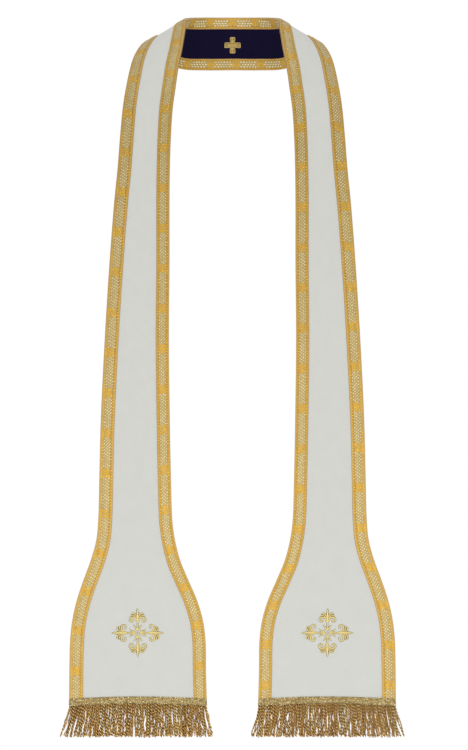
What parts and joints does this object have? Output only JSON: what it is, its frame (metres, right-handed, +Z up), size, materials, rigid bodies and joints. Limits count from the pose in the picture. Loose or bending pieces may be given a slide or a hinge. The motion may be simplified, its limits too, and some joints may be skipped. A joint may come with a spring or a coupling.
{
  "type": "clerical stole",
  "caption": "Reversible stole with a narrow neck, bands that widen into spade ends, braid along every edge, embroidered crosses and bullion fringe, held in its worn shape.",
  "frame": {"origin": "on the neck's axis and the plane of symmetry, level with the line where the stole turns over the sides of the neck, where the wearer holds it", "axes": "+Z up, the wearer faces -Y, +X to the wearer's left"},
  "size_m": [0.548, 0.198, 1.1754],
  "materials": {
    "white_cloth": "fine matt ivory-white weave over interlining",
    "purple_cloth": "fine matt weave, very dark purple",
    "galloon": "woven braid of gold and pale metallic yarns",
    "bullion": "antique gold twisted metallic cord",
    "embroidery": "satin stitch in pale metallic gold thread"
  },
  "bodies": {
    "root": {"white_panel": "white_cloth", "purple_panel": "purple_cloth", "white_galloon_inner": "galloon", "white_galloon_outer": "galloon", "purple_galloon_inner": "galloon", "purple_galloon_outer": "galloon", "heading_left": "bullion", "heading_right": "bullion", "fringe_left": "bullion", "fringe_right": "bullion", "cross_left": "embroidery", "cross_right": "embroidery", "neck_cross": "embroidery"}
  },
  "joints": []
}
